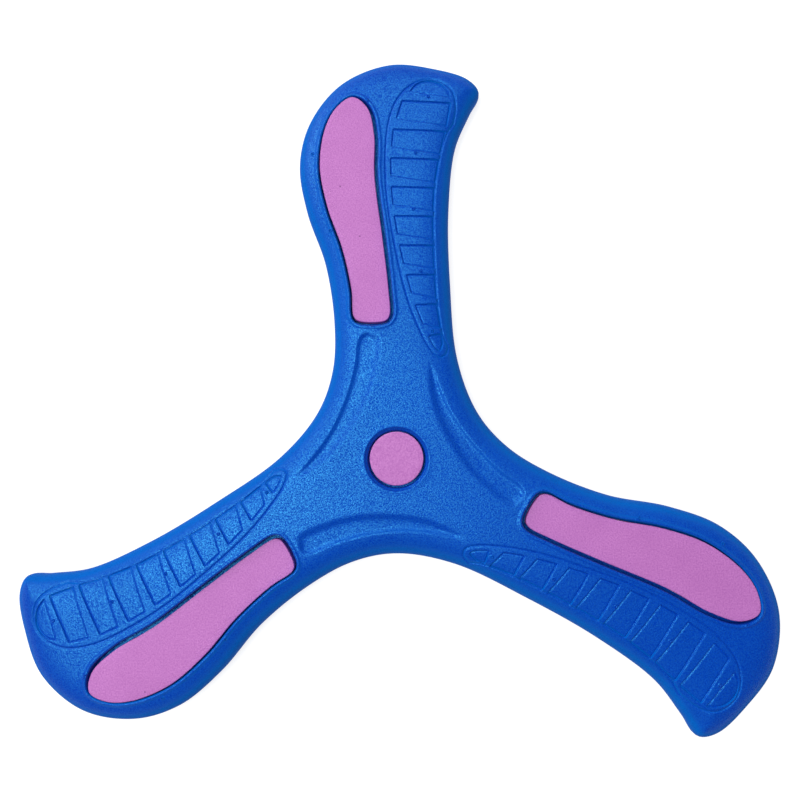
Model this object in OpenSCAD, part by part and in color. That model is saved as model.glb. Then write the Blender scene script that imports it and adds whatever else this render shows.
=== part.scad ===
// Soft three-bladed boomerang: a moulded foam body with four foam pads glued into pockets.
// Millimetres. The origin is on the flat underside at the hub axis, +Z points up out of the
// crowned face and +Y runs along the middle of wing 1. Wings 2 and 3 follow clockwise.

/* [Planform] */
// Distance from the hub axis to the furthest point of a wing
wing_reach = 139; // [125:1:153]

/* [Foam body] */
// Height of the crown above the flat underside
body_h = 12; // [11:0.5:15]
// How much lower the crown is at the wing tips than around the hub
tip_drop = 1.8; // [0:0.1:2]
// Height of the widest line of the rounded edge above the underside
edge_h = 3.5; // [2:0.25:4]
// Distance in from the edge at which the crown reaches its full height
edge_run = 16; // [13:0.5:18]
// How far the underside is drawn in from the widest line
under_inset = 1.0; // [0.6:0.1:1.6]

/* [Wing pads] */
// Height of the flat top of a wing pad above the underside
pad_top = 10; // [9.5:0.1:10.4]
// Thickness of a wing pad
pad_h = 3.3; // [2.5:0.1:4]
// Mean gap between a wing pad and its pocket wall
pad_gap = 0.85; // [0.8:0.05:1.2]

/* [Hub pad] */
// Diameter of the round hub pad
hub_pad_d = 17.7; // [15:0.1:18.6]
// Diameter of the hub pocket
hub_pocket_d = 20.6; // [20:0.1:24]
// Thickness of the hub pad
hub_pad_h = 3.3; // [2.5:0.1:4]
// Height of the flat top of the hub pad above the underside
hub_pad_top = 11.7; // [10.5:0.1:12]

/* [Adhesive] */
// Thickness of the adhesive film under each pad
film_h = 0.2; // [0.1:0.05:0.3]

/* [Surface relief] */
// Number of sunken cells in the ladder along the trailing side of a wing
cell_count = 8; // [6:1:8]
// Depth of a ladder cell
cell_depth = 0.5; // [0.3:0.1:0.8]
// Depth of the scooped channels around the hub
channel_depth = 1; // [0.6:0.1:1.6]

/* [Hidden] */

WINGS = 3;
step_angle = -360 / WINGS;
DESIGN_REACH = 139;
scale_k = wing_reach / DESIGN_REACH;

foam_blue = [0.05, 0.38, 0.78];
pad_lilac = [0.78, 0.52, 0.80];
film_tint = [0.90, 0.87, 0.72];

// Edge of one wing at the design reach, clockwise from the fork on its left to the last
// point before the fork on its right: x, y and the width of the rounded band inside it.
// Points 0 to 7 run up the leading side, 7 to 10 round the tip, and the rest round the hook
// and down the trailing side.
WING_EDGE = [
    [-27.2, 15.7, 9], [-22.2, 30, 9], [-21.7, 46.5, 9], [-24.9, 67, 9], [-31.6, 86, 9],
    [-34.4, 103, 9], [-30.8, 118.4, 9], [-19.8, 132.2, 9], [-2.9, 139, 9], [12.8, 137.3, 8],
    [24.8, 133.2, 6], [28.7, 128.4, 6], [25.6, 121.8, 6], [20.3, 109, 8], [17.8, 86, 9],
    [18.2, 60, 9], [20.5, 34, 9]];
SIDE_SPANS = 7;
TIP_SPANS = 3;
SPAN_STEPS = 4;

// Edge of a wing pad, from the inner end up the leading side and back down.
PAD_EDGE = [
    [-13.2, 46.6], [-14.7, 48.2], [-15.4, 57], [-18.6, 71.4], [-23.9, 86.4], [-26.6, 101],
    [-24.8, 114.5], [-20.8, 121.9], [-15.5, 125.3], [-10.4, 121.6], [-7.9, 112], [-7.7, 97],
    [-4.9, 75], [-2.9, 58], [-2.5, 48.2], [-4, 46.5]];
// A wing pocket reaches further past its pad on the trailing side and towards the hub, and
// the hub pad is glued a little off the middle of its own pocket.
POCKET_SHIFT = [0.4, -0.55];
HUB_PAD_SHIFT = [0, 0.2];

// The ladder narrows towards the hub between two guide lines: y, x along each.
LADDER_LEFT = [[33, 13.6], [41, 10.3], [51.4, 6.1], [61.6, 3.2], [72.4, 0.8], [82.7, -1],
    [93.2, -2], [103.5, -2.2], [113.8, -1.3], [123.7, 1.7]];
LADDER_RIGHT = [[35, 15], [41.9, 15.2], [51.9, 13.7], [62.1, 13], [72.4, 12.6], [82.6, 12.5],
    [92.8, 13], [102.9, 14.6], [112.8, 17], [122.6, 18.7]];
CELL_TOP_LEFT = 123.7;
CELL_TOP_RIGHT = 122.6;
CELL_PITCH = 10.3;
CELL_PITCH_RIGHT = 10.1;
CELL_LEFT_H = 6.6;
CELL_RIGHT_H = 8.4;
// The rounded cap beyond the last cell, and the pointed cell at the hub end of the ladder.
CAP_CELL = [[[4.4, 126.8], [18.4, 124.4]], [[6, 129], [17, 127.8]], [[9, 130.4], [13.4, 130]]];
POINT_CELL = [[[14, 35.2], [15.2, 35.4]], [[12.6, 37.4], [15.8, 38]], [[10.3, 41], [15.2, 41.9]]];

// One scooped channel, from its wide round end below a pad to its point beside the next
// wing's ladder: hub side, outer side.
CHANNEL = [
    [[-7.6, 42.4], [-10.6, 42.4]], [[-5.4, 41], [-12.6, 40.9]], [[-4.9, 38.5], [-13.5, 38]],
    [[-6, 30], [-14.3, 31]], [[-8.8, 20.5], [-17.2, 20.5]], [[-14, 10.5], [-21.3, 11]],
    [[-21, 1.2], [-26.6, 2.6]], [[-27.5, -4], [-30.4, -2]], [[-33.2, -7.2], [-33.8, -5.9]]];
// Floor of a channel from the hub side to the outer side, as a share of its depth.
CHANNEL_FLOOR = [-0.25, 0.75, 1, 0.8, 0.4, -0.25];

// Points of a smooth curve through c[1] and c[2], with steps equal parts and no end point.
function span(c, steps) =
    let (a = sqrt(norm(c[1] - c[0])), b = sqrt(norm(c[2] - c[1])), d = sqrt(norm(c[3] - c[2])),
         m1 = b * ((c[1] - c[0]) / a - (c[2] - c[0]) / (a + b) + (c[2] - c[1]) / b),
         m2 = b * ((c[2] - c[1]) / b - (c[3] - c[1]) / (b + d) + (c[3] - c[2]) / d))
    [for (i = [0 : steps - 1]) let (t = i / steps)
        (2 * t ^ 3 - 3 * t ^ 2 + 1) * c[1] + (t ^ 3 - 2 * t ^ 2 + t) * m1
        + (3 * t ^ 2 - 2 * t ^ 3) * c[2] + (t ^ 3 - t ^ 2) * m2];

// Closed smooth curve through a list of points.
function closed_curve(points, steps) =
    let (n = len(points))
    [for (i = [0 : n - 1])
        each span([for (k = [-1 : 2]) points[(i + k + n) % n]], steps)];

function turned(p, k) =
    let (c = cos(k * step_angle), s = sin(k * step_angle))
    [c * p[0] - s * p[1], s * p[0] + c * p[1]];

function flat(p) = [p[0], p[1]] * scale_k;
function right_of(v) = [v[1], -v[0]] / norm(v);

// The edge points of all wings, and the inner line of the rounded band beside each.
edge_points = [for (k = [0 : WINGS - 1]) for (p = WING_EDGE) turned(flat(p), k)];
edge_count = len(edge_points);
band_points = [for (i = [0 : edge_count - 1])
    edge_points[i] + scale_k * WING_EDGE[i % len(WING_EDGE)][2]
    * right_of(edge_points[(i + 1) % edge_count] - edge_points[(i + edge_count - 1) % edge_count])];

edge_line = closed_curve(edge_points, SPAN_STEPS);
band_line = closed_curve(band_points, SPAN_STEPS);
line_count = len(edge_line);

function segment_gap(p, a, b) =
    let (t = max(0, min(1, (p - a) * (b - a) / ((b - a) * (b - a)))))
    norm(p - a - t * (b - a));
function edge_gap(p) =
    min([for (i = [0 : line_count - 1])
        segment_gap(p, edge_line[i], edge_line[(i + 1) % line_count])]);

// Height of the crowned face over a point of the plan: a rounded edge that levels out to a
// height that falls from the hub towards the wing tips.
ROUNDNESS = 3;
DROP_FROM = 45 * scale_k;
DROP_TO = 139 * scale_k;
function level_height(reach) =
    let (t = max(0, min(1, (reach - DROP_FROM) / (DROP_TO - DROP_FROM))))
    body_h - tip_drop * t * t * (3 - 2 * t);
function crown_at(p) =
    let (t = 1 - min(1, edge_gap(p) / edge_run))
    edge_h + (level_height(norm([p[0], p[1]])) - edge_h) * (1 - t ^ ROUNDNESS) ^ (1 / ROUNDNESS);

// Rings from the underside up the edge and across the rounded band.
UNDER_STEPS = [0, 0.4];
BAND_STEPS = [0, 0.015, 0.06, 0.15, 0.3, 0.55, 1];
function under_ring(t) = [for (i = [0 : line_count - 1])
    let (p = edge_line[i],
         side = right_of(edge_line[(i + 1) % line_count]
                         - edge_line[(i + line_count - 1) % line_count]))
    [each p + under_inset * (1 - sqrt(1 - (1 - t) ^ 2)) * side, edge_h * t]];
function band_ring(t) = [for (i = [0 : line_count - 1])
    let (p = edge_line[i] * (1 - t) + band_line[i] * t)
    [each p, t == 0 ? edge_h : crown_at(p)]];
rings = [each [for (t = UNDER_STEPS) under_ring(t)], each [for (t = BAND_STEPS) band_ring(t)]];
ring_top = len(rings) - 1;

// Inside the band each wing is one grid: rows from the hub to the tip, columns across.
rows = SIDE_SPANS * SPAN_STEPS;
columns = TIP_SPANS * SPAN_STEPS;
wing_line = 2 * rows + columns;
half = columns / 2;
function grid_left(v) = band_line[v];
function grid_right(v) = band_line[(wing_line - v) % line_count];
function grid_tip(u) = band_line[rows + u];
function grid_fork(u) = u < half ? grid_left(0) * (1 - u / half) : grid_right(0) * (u / half - 1);
// A grid point lies on the straight rung between its row's ends. Rows near the fork dip into
// it and rows near the tip bulge with it, and the columns spread as the tip's points do.
function along(p, a, b) = (p - a) * (b - a) / ((b - a) * (b - a));
function off_line(p, a, b) = p - a - (b - a) * along(p, a, b);
function grid_point(u, v) =
    let (t = v / rows,
         s = (1 - t) * u / columns + t * along(grid_tip(u), grid_tip(0), grid_tip(columns)))
    (1 - s) * grid_left(v) + s * grid_right(v)
    + (1 - t) * off_line(grid_fork(u), grid_left(0), grid_right(0))
    + t * off_line(grid_tip(u), grid_tip(0), grid_tip(columns));
function on_crown(p) = [each p, crown_at(p)];
wing_grid = [for (v = [1 : rows - 1]) for (u = [1 : columns - 1]) on_crown(grid_point(u, v))];
fork_arm = [for (u = [1 : half - 1]) on_crown(grid_fork(u))];
function turned_up(list, k) = [for (p = list) [each turned(p, k), p[2]]];

// Where each point of the body is in its list.
arm_start = len(rings) * line_count;
hub_index = arm_start + WINGS * len(fork_arm);
grid_start = hub_index + 1;
function ring_index(r, i) = r * line_count + (i + line_count) % line_count;
function arm_index(k, u) = arm_start + (k % WINGS) * len(fork_arm) + u - 1;
function grid_index(k, u, v) =
    u == 0 ? ring_index(ring_top, k * wing_line + v)
    : u == columns ? ring_index(ring_top, (k + 1) * wing_line - v)
    : v == rows ? ring_index(ring_top, k * wing_line + rows + u)
    : v > 0 ? grid_start + k * len(wing_grid) + (v - 1) * (columns - 1) + u - 1
    : u == half ? hub_index
    : u < half ? arm_index(k, u) : arm_index(k + 1, columns - u);
function two_triangles(a, b, c, d) = [[a, b, c], [a, c, d]];

body_vertices = [
    each [for (ring = rings) each ring],
    each [for (k = [0 : WINGS - 1]) each turned_up(fork_arm, k)],
    on_crown([0, 0]),
    each [for (k = [0 : WINGS - 1]) each turned_up(wing_grid, k)]];
body_faces = [
    each [for (r = [0 : ring_top - 1]) for (i = [0 : line_count - 1])
        each two_triangles(ring_index(r, i), ring_index(r, i + 1),
                           ring_index(r + 1, i + 1), ring_index(r + 1, i))],
    each [for (k = [0 : WINGS - 1]) for (v = [0 : rows - 1]) for (u = [0 : columns - 1])
        each two_triangles(grid_index(k, u, v), grid_index(k, u, v + 1),
                           grid_index(k, u + 1, v + 1), grid_index(k, u + 1, v))],
    each [for (k = [0 : WINGS - 1]) for (v = [0 : rows - 1])
        let (s = k * wing_line, e = (k + 1) * wing_line)
        each two_triangles(ring_index(0, s + v), ring_index(0, e - v),
                           ring_index(0, e - v - 1), ring_index(0, s + v + 1))],
    each [for (k = [0 : WINGS - 1]) for (u = [0 : columns - 2])
        let (s = k * wing_line + rows)
        [ring_index(0, s), ring_index(0, s + columns - u), ring_index(0, s + columns - u - 1)]],
    [for (k = [0 : WINGS - 1]) ring_index(0, (WINGS - k) * wing_line)]];

// A cutter over a grid of plan points whose floor follows the crown at the given depths.
CUT_TOP = body_h + 2;
module crown_cutter(grid, depths) {
    n = len(grid[0]);
    m = len(grid);
    count = n * m;
    floor_points = [for (v = [0 : m - 1]) for (u = [0 : n - 1])
        let (p = grid[v][u]) [each p, crown_at(p) - depths[u]]];
    top_points = [for (v = [0 : m - 1]) for (u = [0 : n - 1]) [each grid[v][u], CUT_TOP]];
    rim = [each [for (u = [0 : n - 1]) u], each [for (v = [1 : m - 1]) v * n + n - 1],
           each [for (u = [n - 2 : -1 : 0]) (m - 1) * n + u],
           each [for (v = [m - 2 : -1 : 1]) v * n]];
    quads = [for (v = [0 : m - 2]) for (u = [0 : n - 2]) let (i = v * n + u)
        [i, i + 1, i + n + 1, i + n]];
    polyhedron([each floor_points, each top_points], [
        each [for (q = quads) each [[q[0], q[1], q[2]], [q[0], q[2], q[3]]]],
        each [for (q = quads) each [[q[2] + count, q[1] + count, q[0] + count],
                                    [q[3] + count, q[2] + count, q[0] + count]]],
        each [for (i = [0 : len(rim) - 1]) let (a = rim[i], b = rim[(i + 1) % len(rim)])
            [b, a, a + count, b + count]]]);
}

CELL_COLUMNS = 4;
function across(row, columns) =
    [for (u = [0 : columns]) flat(row[0] * (1 - u / columns) + row[1] * (u / columns))];
function ladder_row(y_left, y_right) =
    [[lookup(y_left, LADDER_LEFT), y_left], [lookup(y_right, LADDER_RIGHT), y_right]];
function ladder_cell(i) =
    let (yl = CELL_TOP_LEFT - i * CELL_PITCH, yr = CELL_TOP_RIGHT - i * CELL_PITCH_RIGHT)
    [for (t = [1, 0.5, 0]) ladder_row(yl - t * CELL_LEFT_H, yr - t * CELL_RIGHT_H)];

module cell_cutter(cell) {
    crown_cutter([for (row = cell) across(row, CELL_COLUMNS)],
                 [for (u = [0 : CELL_COLUMNS]) cell_depth]);
}

module ladder_cutters() {
    for (i = [0 : cell_count - 1]) cell_cutter(ladder_cell(i));
    cell_cutter(CAP_CELL);
    cell_cutter(POINT_CELL);
}

module channel_cutter() {
    columns = len(CHANNEL_FLOOR) - 1;
    crown_cutter([for (i = [len(CHANNEL) - 1 : -1 : 0]) across([CHANNEL[i][1], CHANNEL[i][0]], columns)],
                 [for (i = [columns : -1 : 0]) channel_depth * CHANNEL_FLOOR[i]]);
}

pad_curve = closed_curve([for (p = PAD_EDGE) flat(p)], 3);
pad_bottom = pad_top - pad_h;
pocket_floor = pad_bottom - film_h;
hub_pad_bottom = hub_pad_top - hub_pad_h;
hub_floor = hub_pad_bottom - film_h;

module on_wing(k) { rotate(k * step_angle) children(); }

module wing_pocket() {
    translate([each POCKET_SHIFT, pocket_floor])
        linear_extrude(body_h) offset(r = pad_gap) polygon(pad_curve);
}

module foam_body() {
    color(foam_blue) difference() {
        polyhedron(body_vertices, body_faces);
        translate([0, 0, hub_floor]) cylinder(d = hub_pocket_d, h = body_h, $fn = 96);
        for (k = [0 : WINGS - 1]) on_wing(k) {
            wing_pocket();
            ladder_cutters();
            channel_cutter();
        }
    }
}

module wing_pad(k) {
    color(pad_lilac) on_wing(k) translate([0, 0, pad_bottom])
        linear_extrude(pad_h) polygon(pad_curve);
}

module hub_pad() {
    color(pad_lilac) translate([each HUB_PAD_SHIFT, hub_pad_bottom])
        cylinder(d = hub_pad_d, h = hub_pad_h, $fn = 96);
}

module wing_adhesive(k) {
    color(film_tint) on_wing(k) translate([0, 0, pocket_floor])
        linear_extrude(film_h) polygon(pad_curve);
}

module hub_adhesive() {
    color(film_tint) translate([each HUB_PAD_SHIFT, hub_floor])
        cylinder(d = hub_pad_d, h = film_h, $fn = 96);
}

foam_body();
wing_pad(0);  // wing_pad_1
wing_pad(1);  // wing_pad_2
wing_pad(2);  // wing_pad_3
hub_pad();
wing_adhesive(0);  // wing_adhesive_1
wing_adhesive(1);  // wing_adhesive_2
wing_adhesive(2);  // wing_adhesive_3
hub_adhesive();
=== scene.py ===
"""Soft three-bladed foam boomerang: a moulded foam body with four foam pads glued into pockets.

Lengths are millimetres while shapes are worked out, and metres once they are Blender meshes.
Wing 1 points along +Y, and wings 2 and 3 are the same shape turned clockwise by 120 and 240 degrees.
"""

import math

import bpy
import numpy as np
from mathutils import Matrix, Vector
from mathutils.geometry import delaunay_2d_cdt
from mathutils.kdtree import KDTree


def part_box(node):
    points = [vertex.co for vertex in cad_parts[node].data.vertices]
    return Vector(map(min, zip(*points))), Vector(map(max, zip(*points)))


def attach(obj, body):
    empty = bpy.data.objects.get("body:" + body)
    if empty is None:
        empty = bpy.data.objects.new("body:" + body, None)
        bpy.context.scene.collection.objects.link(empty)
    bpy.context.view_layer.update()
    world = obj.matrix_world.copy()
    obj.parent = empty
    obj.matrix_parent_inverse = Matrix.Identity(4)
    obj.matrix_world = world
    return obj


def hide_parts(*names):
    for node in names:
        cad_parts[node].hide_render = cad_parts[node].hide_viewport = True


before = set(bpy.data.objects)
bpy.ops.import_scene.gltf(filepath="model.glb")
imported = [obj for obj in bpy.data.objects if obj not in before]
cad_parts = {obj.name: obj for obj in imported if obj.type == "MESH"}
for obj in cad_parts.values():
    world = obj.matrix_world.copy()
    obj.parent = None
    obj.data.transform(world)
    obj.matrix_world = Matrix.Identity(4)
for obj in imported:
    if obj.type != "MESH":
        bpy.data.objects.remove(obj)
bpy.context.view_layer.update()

MM = 0.001
WINGS = 3
BODY = "root"


def cad_box(node):
    """Lowest and highest corners of a CAD node, in millimetres."""
    return [np.array(corner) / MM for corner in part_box(node)]


# ---------------------------------------------------------------- sizes from the CAD frame
BODY_HIGH = cad_box("foam_body")[1]
PAD_LOW, PAD_HIGH = cad_box("wing_pad_1")
HUB_PAD_LOW, HUB_PAD_HIGH = cad_box("hub_pad")
FILM_LOW = cad_box("wing_adhesive_1")[0]
HUB_FILM_LOW = cad_box("hub_adhesive")[0]

# The tables below are for a wing that reaches this far; SCALE fits them to the CAD body.
DESIGN_REACH = 139.2
SCALE = BODY_HIGH[1] / DESIGN_REACH
BODY_H = BODY_HIGH[2]
EDGE_H = 3.5
EDGE_RUN = 16.0
ROUNDNESS = 3
TIP_DROP = 1.8
DROP_FROM = 45.0
DROP_TO = 139.0
UNDER_INSET = 1.0
PAD_GAP = 0.85
POCKET_SHIFT = (0.4, -0.55)
HUB_PAD_R = (HUB_PAD_HIGH[0] - HUB_PAD_LOW[0]) / 2
HUB_PAD_MIDDLE = (HUB_PAD_LOW + HUB_PAD_HIGH)[:2] / 2
HUB_POCKET_R = 10.3

# Edge of one wing, clockwise from the fork on its left to the last point before the next fork.
WING_EDGE = [
    (-27.2, 15.7), (-22.2, 30), (-21.7, 46.5), (-24.9, 67), (-31.6, 86), (-34.4, 103),
    (-30.8, 118.4), (-19.8, 132.2), (-2.9, 139), (12.8, 137.3), (24.8, 133.2), (28.7, 128.4),
    (25.6, 121.8), (20.3, 109), (17.8, 86), (18.2, 60), (20.5, 34)]

# Edge of a wing pad, from the inner end up the leading side and back down.
PAD_EDGE = [
    (-13.2, 46.6), (-14.7, 48.2), (-15.4, 57), (-18.6, 71.4), (-23.9, 86.4), (-26.6, 101),
    (-24.8, 114.5), (-20.8, 121.9), (-15.5, 125.3), (-10.4, 121.6), (-7.9, 112), (-7.7, 97),
    (-4.9, 75), (-2.9, 58), (-2.5, 48.2), (-4, 46.5)]

# The ladder of sunken cells narrows towards the hub between two guide lines: y, x along each.
LADDER_LEFT = [(33, 13.6), (41, 10.3), (51.4, 6.1), (61.6, 3.2), (72.4, 0.8), (82.7, -1),
               (93.2, -2), (103.5, -2.2), (113.8, -1.3), (123.7, 1.7)]
LADDER_RIGHT = [(35, 15), (41.9, 15.2), (51.9, 13.7), (62.1, 13), (72.4, 12.6), (82.6, 12.5),
                (92.8, 13), (102.9, 14.6), (112.8, 17), (122.6, 18.7)]
CELL_COUNT = 8
CELL_TOP_LEFT = 123.7
CELL_TOP_RIGHT = 122.6
CELL_PITCH_LEFT = 10.3
CELL_PITCH_RIGHT = 10.1
CELL_LEFT_H = 6.6
CELL_RIGHT_H = 8.4
CELL_CORNER_R = 0.35
POINT_CORNER_R = 0.8
CAP_CELL = [(4.5, 126.9), (6.2, 129.2), (8.8, 130.6), (11.6, 130.8), (14.6, 129.8), (17.2, 127.4),
            (18.6, 124.3)]
POINT_CELL = [(10.3, 41), (15.2, 41.9), (15.7, 38.6), (14.6, 35.4), (12.7, 37)]

# The fine groove that frames the ladder, from beside the second cell over the cap and down to
# the pointed cell.
FRAME_GROOVE = [
    (19.6, 115.5), (20.4, 121), (19.4, 126.2), (16, 130), (10.8, 131.4), (5, 129.3),
    (0.3, 124.4), (-2.8, 116), (-3.9, 103), (-3.3, 88.5), (-1, 74), (3.2, 55), (7.4, 43.7),
    (11.2, 36.6), (14, 33.9), (16.3, 34.6), (17.4, 37.2)]

# The frame's last side runs along the ends of the cells, cutting the ribs between them.
SIDE_GROOVE = [(17.4, 37.2), (15.4, 41.9), (13.9, 51.9), (13.2, 62.1), (12.8, 72.4), (12.7, 82.6),
               (13.2, 92.8), (14.8, 102.9), (17.2, 111.5), (19.6, 115.5)]

# A scooped channel: its hub side and its outer side, both from the wide round end to the point.
CHANNEL_HUB_SIDE = [(-7.6, 42.4), (-5.4, 41), (-4.9, 38.5), (-6, 30), (-8.8, 20.5),
                    (-14, 10.5), (-21, 1.2), (-27.5, -4), (-33.8, -7.4)]
CHANNEL_OUTER_SIDE = [(-33.8, -7.4), (-33.3, -5.4), (-29, -0.2), (-24.6, 5.6), (-21.3, 11),
                      (-17.2, 20.5), (-14.3, 31), (-13.5, 38), (-12.6, 40.9), (-10.6, 42.4),
                      (-7.6, 42.4)]

# Small raised vent marks left by the mould.
VENT_MARKS = [(10.7, 124.7), (6.4, 104.6), (5.5, 84.5), (8.1, 63.1), (11.9, 42.6),
              (-22.8, 77.5), (-8.2, 44.6), (-29.2, 105), (-10.3, 123.6)]


# ---------------------------------------------------------------- plane curves
def spline(points, steps, closed=True):
    """Smooth curve through the points: centripetal, with equal steps in each span."""
    pts = np.array(points, float)
    if not closed:
        pts = np.vstack([2 * pts[0] - pts[1], pts, 2 * pts[-1] - pts[-2]])
    n = len(pts)
    spans = range(n) if closed else range(1, n - 2)
    t = (np.arange(steps) / steps)[:, None]
    line = []
    for i in spans:
        p0, p1, p2, p3 = (pts[(i + k) % n] for k in (-1, 0, 1, 2))
        a, b, d = (math.sqrt(np.linalg.norm(q - p)) for p, q in ((p0, p1), (p1, p2), (p2, p3)))
        m1 = b * ((p1 - p0) / a - (p2 - p0) / (a + b) + (p2 - p1) / b)
        m2 = b * ((p2 - p1) / b - (p3 - p1) / (b + d) + (p3 - p2) / d)
        line.append((2 * t**3 - 3 * t**2 + 1) * p1 + (t**3 - 2 * t**2 + t) * m1
                    + (3 * t**2 - 2 * t**3) * p2 + (t**3 - t**2) * m2)
    if not closed:
        line.append(pts[-2][None])
    return np.vstack(line)


def resampled(line, spacing, closed=True):
    """The same curve with points an even distance apart."""
    path = np.vstack([line, line[:1]]) if closed else line
    lengths = np.concatenate([[0], np.cumsum(np.linalg.norm(np.diff(path, axis=0), axis=1))])
    count = max(3, round(lengths[-1] / spacing))
    at = np.linspace(0, lengths[-1], count + 1)
    if closed:
        at = at[:-1]
    return np.stack([np.interp(at, lengths, path[:, k]) for k in (0, 1)], axis=1)


def rounded_polygon(corners, radius, arc_steps=4):
    """Polygon with each corner replaced by an arc."""
    pts = np.array(corners, float)
    line = []
    for i, p in enumerate(pts):
        back = pts[i - 1] - p
        on = pts[(i + 1) % len(pts)] - p
        back_len, on_len = np.linalg.norm(back), np.linalg.norm(on)
        back, on = back / back_len, on / on_len
        half = math.acos(np.clip(back @ on, -1, 1)) / 2
        cut = min(radius / math.tan(half), 0.45 * min(back_len, on_len))
        for s in np.linspace(0, 1, arc_steps + 1):
            line.append(p + back * cut * (1 - s) ** 2 + on * cut * s**2)
    return np.array(line)


def turned(points, wing):
    """Plan points of wing 1 moved to another wing."""
    a = -2 * math.pi * wing / WINGS
    return np.asarray(points) @ np.array([[math.cos(a), math.sin(a)], [-math.sin(a), math.cos(a)]])


def side_normals(line, closed=True):
    """Unit vectors to the left of the curve at each point."""
    if closed:
        along = np.roll(line, -1, 0) - np.roll(line, 1, 0)
    else:
        along = np.gradient(line, axis=0)
    left = np.stack([-along[:, 1], along[:, 0]], axis=1)
    return left / np.linalg.norm(left, axis=1, keepdims=True)


def line_gap(query, line, closed=True):
    """Distance from each query point to a curve."""
    a = line if closed else line[:-1]
    b = np.roll(line, -1, 0) if closed else line[1:]
    run = b - a
    run_sq = (run**2).sum(1)
    gaps = np.empty(len(query))
    for start in range(0, len(query), 4000):
        q = query[start:start + 4000, None]
        t = np.clip(((q - a) * run).sum(2) / run_sq, 0, 1)
        gaps[start:start + 4000] = np.sqrt((((q - a) - t[..., None] * run)**2).sum(2).min(1))
    return gaps


def is_inside(query, line):
    """Whether each query point is inside a closed curve."""
    a, b = line, np.roll(line, -1, 0)
    inside = np.zeros(len(query), bool)
    for start in range(0, len(query), 4000):
        x, y = query[start:start + 4000, :1], query[start:start + 4000, 1:]
        crosses = (a[:, 1] > y) != (b[:, 1] > y)
        with np.errstate(divide="ignore", invalid="ignore"):
            at = a[:, 0] + (y - a[:, 1]) * (b[:, 0] - a[:, 0]) / (b[:, 1] - a[:, 1])
        inside[start:start + 4000] = ((crosses & (x < at)).sum(1) % 2).astype(bool)
    return inside


class Loop:
    """A closed outline on one wing, or on all of them, with its depth measured inwards."""

    def __init__(self, line, reach, wings=True):
        self.line = line if signed_area(line) > 0 else line[::-1]
        self.reach = reach
        self.turns = range(WINGS) if wings else (0,)

    def rows(self, depths):
        """Copies of the outline moved inwards by each depth, for every wing it is on."""
        inwards = side_normals(self.line)
        return [turned(self.line + d * inwards, k) for k in self.turns for d in depths]

    def depth_at(self, query):
        """How far inside the outline each point is; negative outside, down to -reach."""
        depth = np.full(len(query), -float(self.reach))
        low, high = self.line.min(0) - self.reach, self.line.max(0) + self.reach
        for k in self.turns:
            local = turned(query, -k)
            near = ((local > low) & (local < high)).all(1)
            if near.any():
                gap = line_gap(local[near], self.line)
                signed = np.where(is_inside(local[near], self.line), gap, -gap)
                depth[near] = np.maximum(depth[near], signed)
        return depth


def signed_area(line):
    """Area inside a closed curve, negative if it runs clockwise."""
    x, y = line[:, 0], line[:, 1]
    return 0.5 * (x * np.roll(y, -1) - np.roll(x, -1) * y).sum()


def smooth_step(t):
    """0 below 0 and 1 above 1, with a smooth rise between."""
    t = np.clip(t, 0, 1)
    return t * t * (3 - 2 * t)


# ---------------------------------------------------------------- outlines
EDGE_SPACING = 1.0
PAD_SPACING = 0.8
CELL_SPACING = 0.55
edge_points = np.vstack([turned(np.array(WING_EDGE) * SCALE, k) for k in range(WINGS)])
edge = Loop(resampled(spline(edge_points, 24), EDGE_SPACING), reach=EDGE_RUN + 1, wings=False)

pad_curve = resampled(spline(np.array(PAD_EDGE) * SCALE, 24), 0.25)
pad_outline = Loop(resampled(pad_curve, PAD_SPACING), reach=2)
pocket_line = pad_outline.line - PAD_GAP * side_normals(pad_outline.line) + POCKET_SHIFT
pocket = Loop(resampled(pocket_line, PAD_SPACING), reach=3)


def guide(table, y):
    """x on a ladder guide line at y."""
    ys, xs = zip(*table)
    return float(np.interp(y, ys, xs))


def cell_corners(i):
    """Corners of a ladder cell, clockwise from the top left."""
    left = CELL_TOP_LEFT - i * CELL_PITCH_LEFT
    right = CELL_TOP_RIGHT - i * CELL_PITCH_RIGHT
    left_low, right_low = left - CELL_LEFT_H, right - CELL_RIGHT_H
    return [(guide(LADDER_LEFT, left), left), (guide(LADDER_RIGHT, right), right),
            (guide(LADDER_RIGHT, right_low), right_low), (guide(LADDER_LEFT, left_low), left_low)]


def cell_loop(corners, radius):
    """Outline of a ladder cell with rounded corners."""
    line = rounded_polygon(np.array(corners) * SCALE, radius)
    return Loop(resampled(line, CELL_SPACING), reach=1.0)


cells = [cell_loop(cell_corners(i), CELL_CORNER_R) for i in range(CELL_COUNT)]
cells.append(cell_loop(POINT_CELL, POINT_CORNER_R))
cap_line = spline(np.array(CAP_CELL) * SCALE, 8, closed=False)
cells.append(Loop(resampled(cap_line, CELL_SPACING), reach=1.0))

HUB_STEPS = 96
hub_angles = np.linspace(0, 2 * math.pi, HUB_STEPS, endpoint=False)
unit_circle = np.stack([np.cos(hub_angles), np.sin(hub_angles)], axis=1)
hub_pocket = Loop(HUB_POCKET_R * unit_circle, reach=2, wings=False)

groove_line = resampled(spline(np.array(FRAME_GROOVE) * SCALE, 16, closed=False), 0.7, closed=False)
side_groove = resampled(spline(np.array(SIDE_GROOVE) * SCALE, 16, closed=False), 0.4, closed=False)
hub_side = resampled(spline(np.array(CHANNEL_HUB_SIDE) * SCALE, 12, closed=False), 0.9, closed=False)
outer_side = resampled(spline(np.array(CHANNEL_OUTER_SIDE) * SCALE, 12, closed=False), 0.9, closed=False)
channel = Loop(np.vstack([hub_side[:-1], outer_side[:-1]]), reach=1.0)


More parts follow.
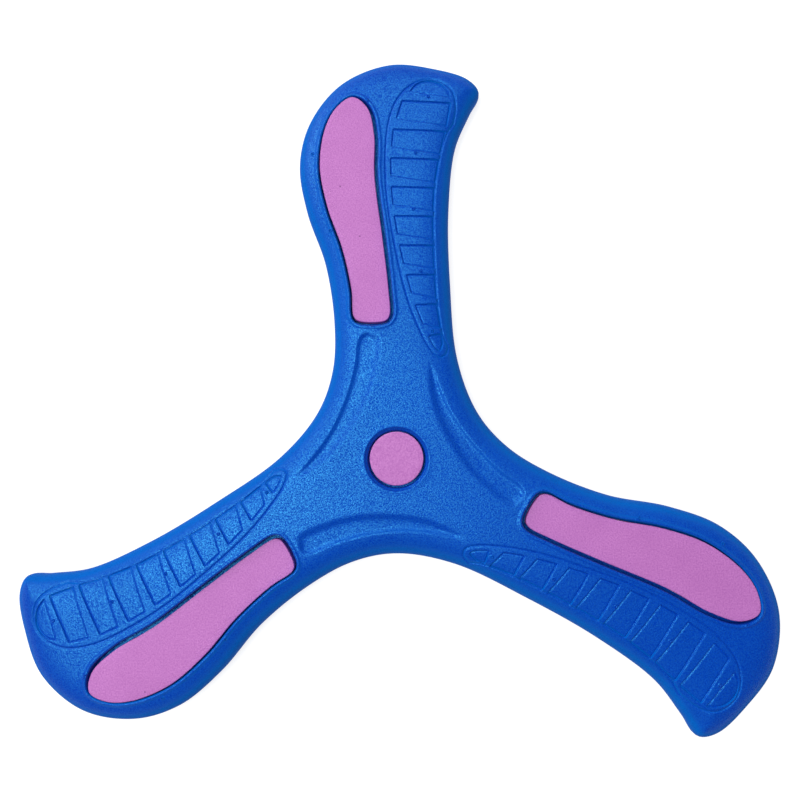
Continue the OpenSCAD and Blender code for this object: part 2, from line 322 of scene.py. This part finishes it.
# ---------------------------------------------------------------- height of the crowned face
def quarter_round(radius, rise, degrees):
    """Rows of (depth, drop) over a rounded rim that starts at a height and ends at depth 0."""
    return [(-radius + radius * math.sin(a), radius * (1 - math.cos(a)) - rise)
            for a in np.radians(degrees)]


# Each profile is a table of (depth inside the outline, drop below the face); a negative drop rises.
# A cell has a fine line as deep as CELL_DEPTH round a floor that is CELL_FLOOR down.
CELL_DEPTH = 0.5
CELL_FLOOR = 0.3
CELL_PROFILE = [(-0.5, 0.0), (-0.18, 0.0), (-0.04, 0.06), (0.1, 0.42), (0.22, CELL_DEPTH),
                (0.4, 0.4), (0.58, CELL_FLOOR), (0.85, CELL_FLOOR)]
GROOVE_HALF = 0.42
GROOVE_DEPTH = 0.28
GROOVE_ROWS = (-0.8, -0.42, -0.2, 0, 0.2, 0.42, 0.8)

# A wing pocket has a raised lip, a rounded rim and a nearly upright wall; the hub pocket's wall slopes.
RIM_ROUND = 0.6
RIM_ANGLES = (0, 20, 40, 60, 80)
WING_LIP = 0.3
HUB_LIP = 0.1
POCKET_DEPTH = 20.0
POCKET_PROFILE = [(-1.7, 0.0), (-1.35, -0.03), (-1.05, -0.22), (-0.8, -WING_LIP)]
POCKET_PROFILE += quarter_round(RIM_ROUND, WING_LIP, RIM_ANGLES)
POCKET_PROFILE += [(0.02, 1.2), (0.06, POCKET_DEPTH)]
HUB_PROFILE = [(-1.4, 0.0), (-1.0, -0.04)]
HUB_PROFILE += quarter_round(RIM_ROUND, HUB_LIP, RIM_ANGLES)
HUB_PROFILE += [(0.35, 0.5), (0.8, 1.1), (0.92, POCKET_DEPTH)]

CHANNEL_DEPTH = 0.8
CHANNEL_SLOPE = 2.9
CHANNEL_LIP = 1.7
VENT_R = 0.38
VENT_HALF = 0.25
VENT_HEIGHT = 0.28


def crown(query):
    """Height of the plain crowned face: a rounded edge that levels out, lower towards the tips."""
    reach = np.linalg.norm(query, axis=1) / SCALE
    level = BODY_H - TIP_DROP * smooth_step((reach - DROP_FROM) / (DROP_TO - DROP_FROM))
    t = 1 - np.clip(edge.depth_at(query) / EDGE_RUN, 0, 1)
    return EDGE_H + (level - EDGE_H) * (1 - t**ROUNDNESS) ** (1 / ROUNDNESS)


def drop_at(depth, profile):
    """Drop at each depth, from a table of (depth, drop)."""
    return np.interp(depth, [d for d, _ in profile], [drop for _, drop in profile])


def open_line_drop(query, line, half, depth):
    """Drop of a fine round-bottomed groove along an open curve of each wing."""
    drop = np.zeros(len(query))
    low, high = line.min(0) - 2, line.max(0) + 2
    for k in range(WINGS):
        local = turned(query, -k)
        near = ((local > low) & (local < high)).all(1)
        if near.any():
            gap = line_gap(local[near], line, closed=False)
            drop[near] = np.maximum(drop[near], depth * (1 - smooth_step(gap / half)))
    return drop


def channel_drop(query):
    """Drop of the scooped channels: a soft slope on the hub side and a tight lip on the other."""
    drop = np.zeros(len(query))
    low, high = channel.line.min(0) - 2, channel.line.max(0) + 2
    for k in range(WINGS):
        local = turned(query, -k)
        near = ((local > low) & (local < high)).all(1)
        if near.any():
            inside = is_inside(local[near], channel.line)
            soft = smooth_step(line_gap(local[near], hub_side, closed=False) / CHANNEL_SLOPE)
            lip = smooth_step(line_gap(local[near], outer_side, closed=False) / CHANNEL_LIP)
            drop[near] = np.maximum(drop[near], np.where(inside, CHANNEL_DEPTH * soft * lip, 0))
    return drop


def vent_bumps(query):
    """Height of the small ring-shaped vent marks."""
    bump = np.zeros(len(query))
    for k in range(WINGS):
        for mark in turned(np.array(VENT_MARKS) * SCALE, k):
            gap = np.linalg.norm(query - mark, axis=1)
            ring = 1 - smooth_step(np.abs(gap - VENT_R) / VENT_HALF)
            bump = np.maximum(bump, VENT_HEIGHT * ring)
    return bump


def face_height(query, recess_depths):
    """Height of the finished crowned face, given each recess's own depth at every point."""
    z = crown(query)
    z -= channel_drop(query)
    z -= np.maximum(open_line_drop(query, groove_line, GROOVE_HALF, GROOVE_DEPTH),
                    open_line_drop(query, side_groove, GROOVE_HALF, GROOVE_DEPTH))
    z += vent_bumps(query)
    for (recess, profile, floor), depth in zip(RECESSES, recess_depths):
        lowered = z - drop_at(depth, profile)
        z = np.where(depth > 0, np.maximum(lowered, floor), lowered)
    return z


RECESSES = [(cell, CELL_PROFILE, 0.0) for cell in cells]
RECESSES += [(pocket, POCKET_PROFILE, FILM_LOW[2]), (hub_pocket, HUB_PROFILE, HUB_FILM_LOW[2])]


# ---------------------------------------------------------------- body mesh
# Distances in from the edge of the rows of points over its curve, and the spacing of the rest.
EDGE_GAPS = (0.05, 0.2, 0.45, 0.8)
BAND_GAPS = (1.25, 1.8, 2.4, 3.1, 3.9, 4.8, 5.8)
UNDER_ANGLES = (72, 54, 36, 18, 0)
LATTICE = 1.25
UNDER_LATTICE = 4.0
SHARP_ANGLE = 60

# Loose points stay this far from the points that matter more, and a row's own depth is trusted
# to within ROW_TOLERANCE.
MARK_CLEARANCE = 0.2
BAND_CLEARANCE = 0.4
LATTICE_CLEARANCE = 0.55
ROW_TOLERANCE = 0.08
CHANNEL_ROWS = ((-0.5, 0.01, 0.6, 1.2, 1.9, 2.6), (-0.35, 0.01, 0.4, 0.8, 1.2, 1.7))
VENT_RINGS = (0.13, 0.25, 0.38, 0.5, 0.63, 0.85)


def lattice_points(outline, spacing, margin):
    """Triangular lattice of points inside an outline, at least margin from it."""
    low, high = outline.line.min(0), outline.line.max(0)
    row_h = spacing * math.sqrt(3) / 2
    rows = int((high[1] - low[1]) / row_h) + 1
    columns = int((high[0] - low[0]) / spacing) + 1
    grid = np.array([(low[0] + (i + 0.5 * (j % 2)) * spacing, low[1] + j * row_h)
                     for j in range(rows) for i in range(columns)])
    return grid[outline.depth_at(grid) > margin]


def thinned(points, kept, clearance):
    """The points that lie at least clearance from every kept point."""
    tree = KDTree(len(kept))
    for i, p in enumerate(kept):
        tree.insert((p[0], p[1], 0), i)
    tree.balance()
    far = [tree.find((p[0], p[1], 0))[2] > clearance for p in points]
    return points[np.array(far, bool)]


def ring_edges(start, count, closed=True):
    """Pairs of neighbours in a row of points numbered from start."""
    pairs = [(start + i, start + i + 1) for i in range(count - 1)]
    return pairs + [(start + count - 1, start)] if closed else pairs


def triangulated(rows, loose):
    """Triangles over closed or open rows of points joined by edges, and loose points between them.

    Returns the plan points, the triangles and, for each point given, where it is in the result.
    """
    points, edges, start = [], [], 0
    for row, closed in rows:
        points.append(row)
        edges += ring_edges(start, len(row), closed)
        start += len(row)
    points = np.vstack(points + [loose])
    found, _, faces, origins, _, _ = delaunay_2d_cdt([Vector(p) for p in points], edges, [], 1, 1e-5)
    place = np.full(len(points), -1)
    for i, given in enumerate(origins):
        place[given] = i
    return np.array([tuple(p) for p in found]), [tuple(f) for f in faces], place


def recess_rows():
    """Closed rows of points along every recess, with the recess and the depth each row is for."""
    rows = []
    for number, (recess, profile, _) in enumerate(RECESSES):
        for depth, _ in profile:
            rows += [(row, number, depth) for row in recess.rows([depth])]
    return rows


def groove_rows():
    """Open rows of points along the ladder's frame groove."""
    sides = side_normals(groove_line, closed=False)
    return [turned(groove_line + d * sides, k) for k in range(WINGS) for d in GROOVE_ROWS]


def mark_points():
    """Loose points along the channels' slopes and round the vent marks."""
    inward = 1 if signed_area(np.vstack([hub_side[:-1], outer_side[:-1]])) > 0 else -1
    points = []
    for line, gaps in zip((hub_side, outer_side), CHANNEL_ROWS):
        for gap in gaps:
            row = line + gap * inward * side_normals(line, closed=False)
            points.append(row[np.abs(channel.depth_at(row) - gap) < 0.1])
    sides = side_normals(side_groove, closed=False)
    points += [side_groove + gap * sides for gap in GROOVE_ROWS]
    angles = np.linspace(0, 2 * math.pi, 12, endpoint=False)
    circle = np.stack([np.cos(angles), np.sin(angles)], axis=1)
    points += [mark + circle * r for mark in np.array(VENT_MARKS) * SCALE for r in VENT_RINGS]
    return np.vstack([turned(row, k) for k in range(WINGS) for row in points])


def new_object(name, vertices, faces):
    """A mesh object from vertices in millimetres."""
    mesh = bpy.data.meshes.new(name)
    mesh.from_pydata((np.asarray(vertices) * MM).tolist(), [], faces)
    mesh.update()
    mesh.shade_smooth()
    mesh.set_sharp_from_angle(angle=math.radians(SHARP_ANGLE))
    piece = bpy.data.objects.new(name, mesh)
    bpy.context.scene.collection.objects.link(piece)
    return piece


def crowned_face():
    """Plan points, heights and triangles of the moulded face, and where its edge points are."""
    inwards = side_normals(edge.line)
    edge_rows = [edge.line + gap * inwards for gap in (0,) + EDGE_GAPS]
    recesses = recess_rows()
    hard = [(row, True) for row in edge_rows] + [(row, True) for row, _, _ in recesses]
    hard += [(row, False) for row in groove_rows()]
    fixed = np.vstack([row for row, _ in hard])
    marks = thinned(mark_points(), fixed, MARK_CLEARANCE)
    bands = []
    for gap in BAND_GAPS:
        ring = edge.line + gap * inwards
        bands.append(ring[edge.depth_at(ring) > 0.98 * gap])
    bands = thinned(np.vstack(bands), np.vstack([fixed, marks]), BAND_CLEARANCE)
    kept = np.vstack([fixed, marks, bands])
    lattice = lattice_points(edge, LATTICE, BAND_GAPS[-1] + 0.5)
    lattice = thinned(lattice, kept, LATTICE_CLEARANCE)
    plan, faces, place = triangulated(hard, np.vstack([marks, bands, lattice]))
    depths = [recess.depth_at(plan) for recess, _, _ in RECESSES]
    start = sum(len(row) for row in edge_rows)
    for row, number, depth in recesses:
        # A row's points take its depth exactly, unless the depth measured there is clearly different.
        at = place[start:start + len(row)]
        at = at[np.abs(depths[number][at] - depth) < ROW_TOLERANCE]
        depths[number][at] = depth
        start += len(row)
    z = face_height(plan, depths)
    rim = place[:len(edge.line)]
    z[rim] = EDGE_H
    return plan, z, faces, rim.tolist()


def build_body():
    """The closed body: the moulded face, a rounded lower edge and the flat underside."""
    plan, z, faces, rim = crowned_face()
    count = len(rim)
    vertices = [np.column_stack([plan, z])]
    total = len(plan)
    above = rim
    inwards = side_normals(edge.line)
    side_faces = []
    for angle in np.radians(UNDER_ANGLES):
        inset = UNDER_INSET * (1 - math.sin(angle))
        height = EDGE_H * (1 - math.cos(angle))
        ring = np.column_stack([edge.line + inset * inwards, np.full(count, height)])
        below = list(range(total, total + count))
        vertices.append(ring)
        total += count
        side_faces += [(above[i], below[i], below[(i + 1) % count], above[(i + 1) % count])
                       for i in range(count)]
        above = below
    under = Loop(vertices[-1][:, :2], reach=5, wings=False)
    under_lattice = lattice_points(under, UNDER_LATTICE, 0.5 * UNDER_LATTICE)
    under_plan, under_faces, under_place = triangulated([(under.line, True)], under_lattice)
    index = {under_place[i]: above[i] for i in range(count)}
    for i in range(len(under_plan)):
        if i not in index:
            index[i] = total
            vertices.append([[*under_plan[i], 0.0]])
            total += 1
    under_faces = [tuple(index[i] for i in reversed(f)) for f in under_faces]
    return new_object("foam_body_moulded", np.vstack(vertices), faces + side_faces + under_faces)


def build_slab(name, outline, low_z, high_z, edge_round, spacing):
    """A flat die-cut pad with a rounded top edge and a square bottom edge."""
    angles = np.radians([0, 22, 45, 68, 90])
    depths = edge_round * (1 - np.cos(angles))
    heights = high_z - edge_round * (1 - np.sin(angles))
    inwards = side_normals(outline.line)
    rings = [outline.line + d * inwards for d in depths]
    count = len(outline.line)
    loose = lattice_points(outline, spacing, edge_round + 0.5 * spacing)
    plan, faces, place = triangulated([(ring, True) for ring in rings], loose)
    z = np.full(len(plan), high_z)
    for r, height in enumerate(heights):
        z[[place[r * count + i] for i in range(count)]] = height
    rim = [place[i] for i in range(count)]
    below = list(range(len(plan), len(plan) + count))
    sides = [(rim[i], below[i], below[(i + 1) % count], rim[(i + 1) % count]) for i in range(count)]
    base_plan, base_faces, base_place = triangulated([(outline.line, True)], loose)
    index = {base_place[i]: below[i] for i in range(count)}
    extra = [i for i in range(len(base_plan)) if i not in index]
    index.update({i: len(plan) + count + n for n, i in enumerate(extra)})
    vertices = np.vstack([np.column_stack([plan, z]),
                          np.column_stack([outline.line, np.full(count, low_z)]),
                          np.column_stack([base_plan[extra], np.full(len(extra), low_z)])])
    base = [tuple(index[i] for i in reversed(f)) for f in base_faces]
    return new_object(name, vertices, faces + sides + base)


# ---------------------------------------------------------------- materials
def new_material(name, specular=0.5, roughness=0.5):
    """A node material, the nodes and links of its tree, and its shader."""
    mat = bpy.data.materials.new(name)
    mat.use_nodes = True
    shader = mat.node_tree.nodes["Principled BSDF"]
    shader.inputs["Roughness"].default_value = roughness
    shader.inputs["Specular IOR Level"].default_value = specular
    return mat, mat.node_tree.nodes, mat.node_tree.links, shader


def add_noise(nodes, links, coords, scale, detail=2.0, roughness=0.5):
    noise = nodes.new("ShaderNodeTexNoise")
    noise.inputs["Scale"].default_value = scale
    noise.inputs["Detail"].default_value = detail
    noise.inputs["Roughness"].default_value = roughness
    links.new(coords, noise.inputs["Vector"])
    return noise.outputs["Fac"]


def add_range(nodes, links, value, low, high, out_low, out_high):
    """value mapped from low..high to out_low..out_high, and kept between them."""
    node = nodes.new("ShaderNodeMapRange")
    limits = {"From Min": low, "From Max": high, "To Min": out_low, "To Max": out_high}
    for socket, number in limits.items():
        node.inputs[socket].default_value = number
    links.new(value, node.inputs["Value"])
    return node.outputs["Result"]


def add_mix(nodes, links, factor, first, second):
    """Colour between two colours or colour sockets."""
    node = nodes.new("ShaderNodeMix")
    node.data_type = "RGBA"
    links.new(factor, node.inputs["Factor"])
    for socket, colour in ((node.inputs["A"], first), (node.inputs["B"], second)):
        if isinstance(colour, bpy.types.NodeSocket):
            links.new(colour, socket)
        else:
            socket.default_value = (*colour, 1)
    return node.outputs["Result"]


def add_math(nodes, links, operation, first, second):
    node = nodes.new("ShaderNodeMath")
    node.operation = operation
    for socket, value in zip(node.inputs, (first, second)):
        if isinstance(value, bpy.types.NodeSocket):
            links.new(value, socket)
        else:
            socket.default_value = value
    return node.outputs["Value"]


def add_bump(nodes, links, shader, height, distance):
    bump = nodes.new("ShaderNodeBump")
    bump.inputs["Distance"].default_value = distance
    bump.inputs["Strength"].default_value = 1.0
    links.new(height, bump.inputs["Height"])
    links.new(bump.outputs["Normal"], shader.inputs["Normal"])


def linear(r, g, b):
    """Linear colour of an sRGB colour given in 0 to 255."""
    parts = [c / 255 for c in (r, g, b)]
    return tuple(c / 12.92 if c <= 0.04045 else ((c + 0.055) / 1.055) ** 2.4 for c in parts)


GRAIN_AND_EDGE_LIGHT = "grain_and_edge_light"


def body_foam():
    """Blue moulded foam: a pebbled, glossy crown that turns smooth and dull round the edge."""
    mat, nodes, links, shader = new_material("body_foam")
    coords = nodes.new("ShaderNodeTexCoord").outputs["Object"]
    attribute = nodes.new("ShaderNodeAttribute")
    attribute.attribute_name = GRAIN_AND_EDGE_LIGHT
    mask = attribute.outputs["Fac"]
    pebble = add_noise(nodes, links, coords, 2100, 2, 0.6)
    speck = add_noise(nodes, links, coords, 3800, 1)

    # Colour: a lighter blue round the edge where the surface tilts over, painted edge light standing in
    # for the sheen and floor light there; paler pebbles on the crown, partly the foam's own grain and
    # partly painted sheen; and fine dark specks.
    mottle = add_range(nodes, links, add_noise(nodes, links, coords, 55, 3), 0.35, 0.65, 0, 1)
    crown_blue = add_mix(nodes, links, mottle, linear(0, 52, 168), linear(0, 58, 175))
    # Painted edge light: where the grain mask is low, as the surface tilts over round the edge and
    # underneath, the colour is painted a lighter blue.
    base = add_mix(nodes, links, mask, linear(0, 94, 186), crown_blue)
    # Pebble tops painted paler on the crown only: partly the foam's own grain and partly painted sheen,
    # since the pale blue holds some of the frosty highlight.
    raised = add_math(nodes, links, "MULTIPLY", add_range(nodes, links, pebble, 0.3, 0.7, 0, 1), mask)
    paleness = add_math(nodes, links, "MULTIPLY", raised, 0.6)
    pale = add_mix(nodes, links, paleness, base, linear(2, 79, 192))
    darkness = add_range(nodes, links, speck, 0.45, 0.7, 0, 0.5)
    links.new(add_mix(nodes, links, darkness, pale, linear(0, 40, 140)), shader.inputs["Base Color"])

    # Sheen: blue, strongest on the tops of the pebbles and weak round the edge.
    shader.inputs["Specular Tint"].default_value = (0.09, 0.57, 0.84, 1)
    shader.inputs["IOR"].default_value = 1.7
    offset = add_math(nodes, links, "SUBTRACT", pebble, 0.5)
    spread = add_math(nodes, links, "MULTIPLY", offset, mask)
    level = add_range(nodes, links, spread, -0.15, 0.15, 0.15, 1.1)
    crown_only = add_range(nodes, links, mask, 0, 1, 0.15, 1)
    links.new(add_math(nodes, links, "MULTIPLY", level, crown_only), shader.inputs["Specular IOR Level"])
    roughness = add_range(nodes, links, pebble, 0.3, 0.7, 0.48, 0.3)
    dull_sides = add_range(nodes, links, mask, 0, 1, 0.4, 0)
    links.new(add_math(nodes, links, "ADD", roughness, dull_sides), shader.inputs["Roughness"])

    # Relief: the same pebbles, a quarter as deep round the edge.
    height = add_math(nodes, links, "ADD", pebble, add_math(nodes, links, "MULTIPLY", speck, 0.35))
    fade = add_range(nodes, links, mask, 0, 1, 0.25, 1)
    add_bump(nodes, links, shader, add_math(nodes, links, "MULTIPLY", height, fade), 0.0001)
    return mat


def pad_foam():
    """Lilac cut foam sheet: matte, with a fine cell texture and a few dark specks."""
    mat, nodes, links, shader = new_material("pad_foam")
    coords = nodes.new("ShaderNodeTexCoord").outputs["Object"]
    mottle = add_range(nodes, links, add_noise(nodes, links, coords, 90, 3), 0.3, 0.7, 0, 1)
    cell = add_noise(nodes, links, coords, 2000, 2, 0.6)
    base = add_mix(nodes, links, mottle, linear(184, 111, 184), linear(191, 118, 191))
    hollow = add_range(nodes, links, cell, 0.35, 0.7, 0, 0.8)
    fine = add_mix(nodes, links, hollow, base, linear(160, 86, 165))

    # Dark specks: small dots in a few of the cells of a coarse pattern.
    dots = nodes.new("ShaderNodeTexVoronoi")
    dots.inputs["Scale"].default_value = 160
    links.new(coords, dots.inputs["Vector"])
    dot = add_range(nodes, links, dots.outputs["Distance"], 0.03, 0.06, 1, 0)
    chosen = nodes.new("ShaderNodeSeparateColor")
    links.new(dots.outputs["Color"], chosen.inputs["Color"])
    few = add_range(nodes, links, chosen.outputs["Red"], 0.6, 0.62, 0, 1)
    dot = add_math(nodes, links, "MULTIPLY", dot, few)
    links.new(add_mix(nodes, links, dot, fine, linear(120, 60, 125)), shader.inputs["Base Color"])
    links.new(add_range(nodes, links, cell, 0.3, 0.7, 0.55, 0.7), shader.inputs["Roughness"])
    add_bump(nodes, links, shader, cell, 0.00012)
    return mat


def adhesive_film():
    """Thin cream film of glue, a little uneven."""
    mat, nodes, links, shader = new_material("adhesive_film", specular=0.4)
    coords = nodes.new("ShaderNodeTexCoord").outputs["Object"]
    streak = add_noise(nodes, links, coords, 300, 3)
    links.new(add_mix(nodes, links, streak, linear(226, 214, 176), linear(205, 190, 148)),
              shader.inputs["Base Color"])
    links.new(add_range(nodes, links, streak, 0.3, 0.7, 0.4, 0.65), shader.inputs["Roughness"])
    add_bump(nodes, links, shader, streak, 0.00003)
    return mat


# ---------------------------------------------------------------- pieces
EDGE_BAND = 6.5
EDGE_FADE = 3.0


def add_grain_and_edge_light_mask(piece):
    """Vertex value for how much of the moulded grain and the painted sheen show: all of them on the
    crown, none underneath. Where it is low, the body colour is painted a lighter blue as painted edge
    light.

    Within EDGE_BAND of the edge it fades as the surface tilts over.
    """
    mesh = piece.data
    mask = mesh.attributes.new(GRAIN_AND_EDGE_LIGHT, "FLOAT", "POINT")
    facing = np.array([v.normal[2] for v in mesh.vertices])
    plan = np.array([v.co[:2] for v in mesh.vertices]) / MM
    inner = smooth_step((edge.depth_at(plan) - EDGE_BAND) / EDGE_FADE)
    full = np.maximum(smooth_step((facing - 0.76) / 0.22), inner)
    mask.data.foreach_set("value", np.where(facing > -0.5, full, 0.0))


def finish_piece(piece, material, nodes_replaced):
    """Give a soft piece its material and its place in the shared frame."""
    piece.data.materials.append(material)
    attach(piece, BODY)
    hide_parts(*nodes_replaced)


blue = body_foam()
lilac = pad_foam()
cream = adhesive_film()

body = build_body()
add_grain_and_edge_light_mask(body)
finish_piece(body, blue, ["foam_body"])

PAD_EDGE_ROUND = 0.3
PAD_LATTICE = 2.2
for wing in range(WINGS):
    outline = Loop(turned(pad_outline.line, wing), reach=2, wings=False)
    pad = build_slab(f"wing_pad_{wing + 1}_foam", outline, PAD_LOW[2], PAD_HIGH[2],
                     PAD_EDGE_ROUND, PAD_LATTICE)
    finish_piece(pad, lilac, [f"wing_pad_{wing + 1}"])

hub_outline = Loop(HUB_PAD_MIDDLE + HUB_PAD_R * unit_circle, reach=2, wings=False)
hub_pad = build_slab("hub_pad_foam", hub_outline, HUB_PAD_LOW[2], HUB_PAD_HIGH[2],
                     PAD_EDGE_ROUND, PAD_LATTICE)
finish_piece(hub_pad, lilac, ["hub_pad"])

for node, cad_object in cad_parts.items():
    if "adhesive" in node:
        cad_object.data.materials.clear()
        cad_object.data.materials.append(cream)


# ---------------------------------------------------------------- floor, light and camera
def add_floor():
    """A plain pale floor under the object."""
    bpy.ops.mesh.primitive_plane_add(size=3.0)
    floor = bpy.context.object
    floor.name = "floor"
    mat, nodes, links, shader = new_material("floor_white", specular=0.1, roughness=0.9)
    shader.inputs["Base Color"].default_value = (0.3, 0.3, 0.3, 1)
    shader.inputs["Emission Color"].default_value = (1, 1, 1, 1)
    shader.inputs["Emission Strength"].default_value = 0.82
    floor.data.materials.append(mat)


def add_area_light(name, place, size, power):
    """A round soft light, placed in metres and aimed at the middle of the object."""
    light = bpy.data.lights.new(name, "AREA")
    light.shape = "DISK"
    light.size = size
    light.energy = power
    lamp = bpy.data.objects.new(name, light)
    bpy.context.scene.collection.objects.link(lamp)
    lamp.location = place
    lamp.rotation_euler = (-Vector(place)).to_track_quat("-Z", "Y").to_euler()


def add_camera():
    """A camera almost straight above the object."""
    camera = bpy.data.objects.new("camera", bpy.data.cameras.new("camera"))
    bpy.context.scene.collection.objects.link(camera)
    camera.location = np.array([9.57, -1.22, 250.65]) * MM
    camera.rotation_euler = [math.radians(a) for a in (4.955, 2.02, 0)]
    camera.data.sensor_width = 36
    camera.data.lens = 32.61
    camera.data.clip_start = 0.01
    bpy.context.scene.camera = camera


def set_world(strength):
    world = bpy.data.worlds.new("studio")
    world.use_nodes = True
    background = world.node_tree.nodes["Background"]
    background.inputs["Color"].default_value = (1, 1, 1, 1)
    background.inputs["Strength"].default_value = strength
    bpy.context.scene.world = world


add_floor()
add_area_light("key_softbox", (-0.42, -0.04, 1.12), 0.6, 9.4)
add_area_light("top_softbox", (-0.06, 0.7, 1.1), 1.0, 5.7)
add_area_light("low_softbox", (-0.77, 0.69, 0.62), 0.6, 4.5)
set_world(0.2)
add_camera()
bpy.context.scene.view_settings.view_transform = "Standard"
